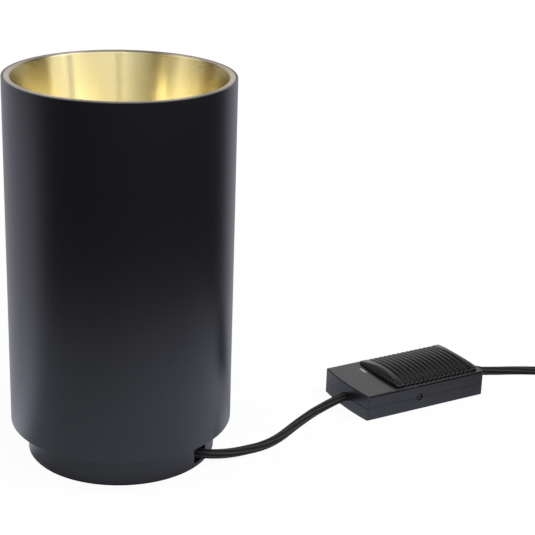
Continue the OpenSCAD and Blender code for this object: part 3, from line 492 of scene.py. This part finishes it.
def add_pad():
    """The sliding pad: an arched back, a nose that bulges a little, and soft ribs.

    The ribs get a little shallower towards both sides.
    """
    nose_x, end_x, half, crown, edge, gap, deck = -24.5, 48.0, 25.0, 4.9, 1.8, 0.3, 19.5
    nose_l, over, end_r, wall, bulge, lip, blunt = 5.5, 0.4, 4.0, 2.0, 1.6, 0.5, 0.25
    first, pitch, count, depth, steps = -16.6, 4.13, 15, 1.1, 12
    sharpness, run_off = 0.9, 0.15
    rise = crown - edge
    vault = (rise ** 2 + half ** 2) / (2 * rise)
    nose_h = crown - gap
    nose_r = nose_l / (1 - math.sqrt(1 - (nose_h / (nose_h + over)) ** 2))
    ribs = (first - pitch / 2, first + (count - 0.5) * pitch)

    def back(x, y):
        z = crown - vault + math.sqrt(vault ** 2 - y ** 2)
        ahead = (x - nose_x) / nose_r
        if ahead < 1:
            z = min(z, gap + blunt + (nose_h + over) * math.sqrt(1 - (1 - ahead) ** 2))
        past = x - (end_x - end_r)
        if past > 0:
            z = min(z, crown + over - end_r + math.sqrt(end_r ** 2 - past ** 2))
        side = abs(y) - (half - lip)
        if side > 0:
            z -= lip - math.sqrt(lip ** 2 - side ** 2)
        return max(z, gap + blunt)

    def groove(x, y):
        if not ribs[0] < x < ribs[1]:
            return 0
        wave = (0.5 + 0.5 * math.cos(TAU * (x - first) / pitch)) ** sharpness
        return depth * wave * (1 - run_off * (abs(y) / half) ** 6)

    nose = [nose_x + (ribs[0] - nose_x) * (1 - math.cos(math.radians(a))) for a in range(0, 90, 6)]
    xs = (nose + [ribs[0] + pitch * i / steps for i in range(count * steps + 1)]
          + [end_x - end_r + end_r * math.sin(math.radians(a)) for a in range(0, 91, 15)])
    ys = [half * math.sin(math.radians(5 * i)) for i in range(-18, 19)]
    mesh = bmesh.new()
    top, low = [], []
    for i, x in enumerate(xs):
        swell = bulge * max(0, (ribs[0] - x) / (ribs[0] - nose_x))
        at = [(x - swell * (1 - (y / half) ** 2), y) for y in ys]
        top.append([mesh.verts.new((px, y, back(x, y) - groove(x, y))) for px, y in at])
        rim = i in (0, len(xs) - 1)
        low.append([mesh.verts.new((px, y, gap if rim or abs(y) == half else max(gap, back(x, y) - wall)))
                    for px, y in at])
    for i in range(len(xs) - 1):
        for j in range(len(ys) - 1):
            mesh.faces.new((top[i][j], top[i + 1][j], top[i + 1][j + 1], top[i][j + 1]))
            mesh.faces.new((low[i][j], low[i][j + 1], low[i + 1][j + 1], low[i + 1][j]))
        for j in (0, -1):
            mesh.faces.new((top[i][j], low[i][j], low[i + 1][j], top[i + 1][j]))
    for j in range(len(ys) - 1):
        for i in (0, -1):
            mesh.faces.new((top[i][j], top[i][j + 1], low[i][j + 1], low[i][j]))
    for face in mesh.faces:
        face.smooth = True
    middle = ENTRY + LENGTH / 2 * Vector((math.cos(TURN), math.sin(TURN)))
    place = Matrix.Translation(Vector((middle.x, middle.y, deck)) * MM)
    turn = place @ Matrix.Rotation(TURN, 4, "Z") @ Matrix.Scale(MM, 4)
    bmesh.ops.transform(mesh, matrix=turn, verts=mesh.verts)
    bmesh.ops.recalc_face_normals(mesh, faces=mesh.faces)
    data = bpy.data.meshes.new("ribbed_pad")
    mesh.to_mesh(data)
    mesh.free()
    data.set_sharp_from_angle(angle=math.radians(45))
    return add_piece("ribbed_pad", data, "slider", PAD, "pad_plastic", "slider_pad")


pad = add_pad()
lamp_path = smooth(LAMP_ROUTE, step=2.2)
lamp_mesh = tube_mesh("cord_to_dimmer", lamp_path, radius=CORD_D / 2, sides=24)
lamp_cord = add_piece("cord_to_dimmer", lamp_mesh, "lamp", TEXTILE, "textile", "cord_lamp")


def strip(mesh, stations, width, thick, closed):
    """A flat strip through stations of place, outward way and distance along.

    Ribs run along its outer side.
    """
    layer = mesh.loops.layers.uv.verify()
    count = round(width / STRAP_RIB) * 4
    across = [width * (i / count - 0.5) for i in range(count + 1)]
    rib = 0.14
    heights = [thick * (1 - rib - rib * math.cos(TAU * y / STRAP_RIB)) for y in across]
    rings = []
    for place, out, _ in stations:
        ring = [place + Vector((0, y, 0)) + out * h for y, h in zip(across, heights)]
        ring += [place + Vector((0, y, 0)) for y in reversed(across)]
        rings.append([mesh.verts.new(p) for p in ring])
    flat = across + across[::-1]
    for i in range(len(rings) if closed else len(rings) - 1):
        j = (i + 1) % len(rings)
        ends = (stations[i][2], stations[j][2] if j else stations[i][2] + STRAP_PICK)
        for k in range(len(flat)):
            n = (k + 1) % len(flat)
            face = mesh.faces.new((rings[i][k], rings[i][n], rings[j][n], rings[j][k]))
            face.smooth = True
            for loop, (u, v) in zip(face.loops, ((0, k), (0, n), (1, n), (1, k))):
                loop[layer].uv = (ends[u], flat[v])
    if not closed:
        mesh.faces.new(rings[0])
        mesh.faces.new(reversed(rings[-1]))


def add_strap():
    """The strap round the coil: a closed loop, and its free end lying on top."""
    inner, outer, top, width, thick, corner = 21.175, 56.45, 15.8, 8.0, 0.8, 2.2
    free_at, free_step, free_count, sunk, narrower = inner + 9, 2.2, 9, 0.05, 0.96
    low, high = (inner + thick, thick), (outer - thick, top - thick)
    loop = []
    corners = ((high[0], high[1], 0), (low[0], high[1], 90), (low[0], low[1], 180), (high[0], low[1], 270))
    for x, z, start in corners:
        in_x = -corner if x == high[0] else corner
        in_z = -corner if z == high[1] else corner
        centre = Vector((x + in_x, 0, z + in_z))
        for a in range(start, start + 91, 15):
            out = Vector((math.cos(math.radians(a)), 0, math.sin(math.radians(a))))
            loop.append((centre + corner * out, out))
    stations, along = [], 0.0
    for (place, out), (after, _) in zip(loop, loop[1:] + loop[:1]):
        stations.append((place, out, along))
        along += (after - place).length
    mesh = bmesh.new()
    strip(mesh, stations, width, thick, closed=True)
    free = []
    for i in range(free_count):
        x = free_at + free_step * i
        free.append((Vector((x, 0, top - sunk * thick)), Vector((0, 0, 1)), x))
    strip(mesh, free, narrower * width, thick, closed=False)
    turn = (Matrix.Translation(COIL_AT * MM) @ Matrix.Rotation(math.radians(STRAP_TURN), 4, "Z")
            @ Matrix.Scale(MM, 4))
    bmesh.ops.transform(mesh, matrix=turn, verts=mesh.verts)
    bmesh.ops.recalc_face_normals(mesh, faces=mesh.faces)
    data = bpy.data.meshes.new("coil_strap")
    mesh.to_mesh(data)
    mesh.free()
    data.set_sharp_from_angle(angle=math.radians(50))
    return add_piece("coil_strap", data, "lamp", WEBBING, "tie_fabric", "coil_tie")


strap = add_strap()
mains_path = smooth(MAINS_ROUTE + coil_route() + TAIL_ROUTE, step=3.2)
mains_mesh = tube_mesh("cord_to_plug", mains_path, radius=CORD_D / 2, sides=20)
mains_cord = add_piece("cord_to_plug", mains_mesh, "lamp", TEXTILE, "textile", "cord_mains", "cord_coil",
                       "cord_tail")


# Turned pieces of the lamp

def turned(name, outline, segments=256):
    """A ring turned from a closed outline of radius and height in millimetres."""
    mesh = bmesh.new()
    ways = [(math.cos(TAU * k / segments), math.sin(TAU * k / segments)) for k in range(segments)]
    rings = [[mesh.verts.new((r * MM * x, r * MM * y, z * MM)) for x, y in ways] for r, z in outline]
    for i, ring in enumerate(rings):
        above = rings[(i + 1) % len(rings)]
        for k in range(segments):
            n = (k + 1) % segments
            mesh.faces.new((ring[k], ring[n], above[n], above[k])).smooth = True
    bmesh.ops.recalc_face_normals(mesh, faces=mesh.faces)
    data = bpy.data.meshes.new(name)
    mesh.to_mesh(data)
    mesh.free()
    data.set_sharp_from_angle(angle=math.radians(35))
    return data


def arc(centre, r, start, end, steps):
    """Points of an arc, its ends in degrees."""
    angles = [math.radians(start + (end - start) * i / steps) for i in range(steps + 1)]
    return [(centre[0] + r * math.cos(a), centre[1] + r * math.sin(a)) for a in angles]


def add_tube():
    """The outer tube with its outer edges broken."""
    outer, inner, low, top, edge = 75, 73.5, 23, TUBE_TOP, 0.35
    outline = (arc((outer - edge, low + edge), edge, -90, 0, 4)
               + arc((outer - edge, top - edge), edge, 0, 90, 4) + [(inner, top), (inner, low)])
    add_piece("tube_skin", turned("tube_skin", outline), "lamp", PAINT, "black_paint", "outer_tube")


def add_reflector():
    """The spun cup, from its floor with the holder's hole to its flat rim.

    A bend joins the floor to a leaning wall, and a rounded lip joins the wall to the rim.
    """
    wall, rim, mouth, top, seat = 0.8, 73.3, 69.7, TUBE_TOP, 98
    hole, floor_r, bend_r, lip = 19.6, 43, 8, 0.9
    lean = math.degrees(math.atan((mouth - floor_r) / (top - seat - wall)))
    centre = (floor_r - bend_r / math.tan(math.radians(45 + lean / 2)), seat + wall + bend_r)
    under = mouth - wall * math.tan(math.radians(lean)) + wall / math.cos(math.radians(lean))
    outline = ([(hole, seat)] + arc(centre, bend_r + wall, -90, -lean, 8)
               + [(under, top - wall), (rim, top - wall), (rim, top)]
               + arc((mouth + lip, top - lip), lip, 90, 180 - lean, 6)
               + arc(centre, bend_r, -lean, -90, 8) + [(hole, seat + wall)])
    add_piece("reflector_skin", turned("reflector_skin", outline), "lamp", BRASS, "spun_brass", "reflector")


add_tube()
add_reflector()


# Floor, world and softboxes, in metres

FLOOR_HALF = 4.0
# Softboxes: their height, their elevation in degrees, their distance from the place they aim at, that place
LIGHT_H = 0.8
LIGHT_RISE = 46
LIGHT_AWAY = 1.3
LIGHT_AIM = Vector((0, 0, 0.2))


def add_floor():
    """White to the camera, with the object's shadow.

    To reflections it is bright at the back and round the object, with a painted shadow at the object's foot,
    and dark towards the front of the studio.
    """
    material = bpy.data.materials.new("floor_white")
    material.use_nodes = True
    t = Tree(material.node_tree)
    out = t.add("ShaderNodeOutputMaterial")
    camera, mirrored = ray_kinds(t)
    place = t.place()
    way = unit(t, place)
    far = t.span(dot(t, way, (-0.45, 0.893, 0)), -0.01, 0.42, 0.08, 0.85)
    length = t.add("ShaderNodeVectorMath", operation="LENGTH")
    t.link(place, length.inputs[0])
    reach = length.outputs["Value"]
    # In reflections only: painted light on the floor round the object, and a painted shadow right at its
    # foot.
    near = t.math("MULTIPLY", t.span(reach, 0.14, 0.48, 0.9, 0.0), t.span(reach, 0.06, 0.085, 0.45, 1.0))
    off_middle = t.span(t.math("ABSOLUTE", dot(t, place, (1, -0.2, 0))), 0.0, 0.2, 0.75, 1.0)
    in_front = t.span(dot(t, way, (-0.25, 0.97, 0)), 0.0, 0.6, 1.0, 0.1)
    not_left = t.span(dot(t, way, (1, 0, 0)), -0.9, 0.0, 0.68, 1.0)
    side = t.math("MULTIPLY", t.math("MULTIPLY", off_middle, in_front), not_left)
    lit = t.add("ShaderNodeBsdfDiffuse")
    lit.inputs["Color"].default_value = (0.9, 0.9, 0.9, 1)
    glow = t.add("ShaderNodeEmission")
    glow.inputs["Color"].default_value = (1, 1, 1, 1)
    glow.inputs["Strength"].default_value = 1.0
    shine = t.add("ShaderNodeEmission")
    t.link(t.mix(near, (0.87, 0.85, 1.0, 1), (0.8, 0.86, 1.0, 1)), shine.inputs["Color"])
    t.link(t.math("ADD", far, t.math("MULTIPLY", near, side)), shine.inputs["Strength"])
    seen = t.add("ShaderNodeMixShader")
    t.link(t.math("MULTIPLY", camera, t.span(reach, 0.25, 0.8, 0.94, 1.0)), seen.inputs[0])
    t.link(lit.outputs[0], seen.inputs[1])
    t.link(glow.outputs[0], seen.inputs[2])
    blend = t.add("ShaderNodeMixShader")
    t.link(mirrored, blend.inputs[0])
    t.link(seen.outputs[0], blend.inputs[1])
    t.link(shine.outputs[0], blend.inputs[2])
    t.link(blend.outputs[0], out.inputs["Surface"])
    mesh = bmesh.new()
    bmesh.ops.create_grid(mesh, x_segments=1, y_segments=1, size=FLOOR_HALF)
    data = bpy.data.meshes.new("floor")
    mesh.to_mesh(data)
    mesh.free()
    data.materials.append(material)
    obj = bpy.data.objects.new("floor", data)
    scene.collection.objects.link(obj)


def add_world():
    """White to the camera; to the object it is bright behind, and dark above and behind the camera."""
    world = bpy.data.worlds.new("studio")
    world.use_nodes = True
    scene.world = world
    t = Tree(world.node_tree)
    out = t.add("ShaderNodeOutputWorld")
    camera = ray_kinds(t)[0]
    way = t.add("ShaderNodeTexCoord").outputs["Generated"]
    back = t.span(dot(t, way, (-0.05, 1, 0)), 0.35, 0.9, 0.05, 0.85)
    high = t.span(dot(t, way, (0, 0, 1)), 0.45, 0.8, 1.0, 0.08)
    strength = t.math("MAXIMUM", t.math("MULTIPLY", back, high), camera)
    glow = t.add("ShaderNodeBackground")
    glow.inputs["Color"].default_value = (1, 1, 1, 1)
    t.link(strength, glow.inputs["Strength"])
    t.link(glow.outputs[0], out.inputs["Surface"])


def add_light(name, azimuth, width, power, fade=None):
    """A softbox; azimuth turns from the camera's side towards +X, fade is its strength from side to side."""
    light = bpy.data.lights.new(name, "AREA")
    light.shape = "RECTANGLE"
    light.size, light.size_y = width, LIGHT_H
    light.energy = power
    if fade:
        light.use_nodes = True
        tree = light.node_tree
        place = tree.nodes.new("ShaderNodeNewGeometry")
        parts = tree.nodes.new("ShaderNodeSeparateXYZ")
        ramp = tree.nodes.new("ShaderNodeMapRange")
        ramp.inputs["To Min"].default_value, ramp.inputs["To Max"].default_value = fade
        tree.links.new(place.outputs["Parametric"], parts.inputs[0])
        tree.links.new(parts.outputs["X"], ramp.inputs["Value"])
        tree.links.new(ramp.outputs["Result"], tree.nodes["Emission"].inputs["Strength"])
    obj = bpy.data.objects.new(name, light)
    scene.collection.objects.link(obj)
    a, e = math.radians(azimuth), math.radians(LIGHT_RISE)
    way = Vector((math.cos(e) * math.sin(a), -math.cos(e) * math.cos(a), math.sin(e)))
    obj.location = LIGHT_AIM + LIGHT_AWAY * way
    obj.rotation_euler = (LIGHT_AIM - obj.location).to_track_quat("-Z", "Y").to_euler()


add_floor()
add_world()
# The first three softboxes meet edge to edge; the gap before the fourth leaves a dark streak in the brass
add_light("key_light", azimuth=85.7, width=0.54, power=9.4)
add_light("main_light", azimuth=38, width=1.1, power=10.6, fade=(0.84, 1))
add_light("front_light", azimuth=-15.2, width=0.76, power=7.2, fade=(0.2, 1))
add_light("side_light", azimuth=-91, width=1.0, power=10.5, fade=(0.6, 1))
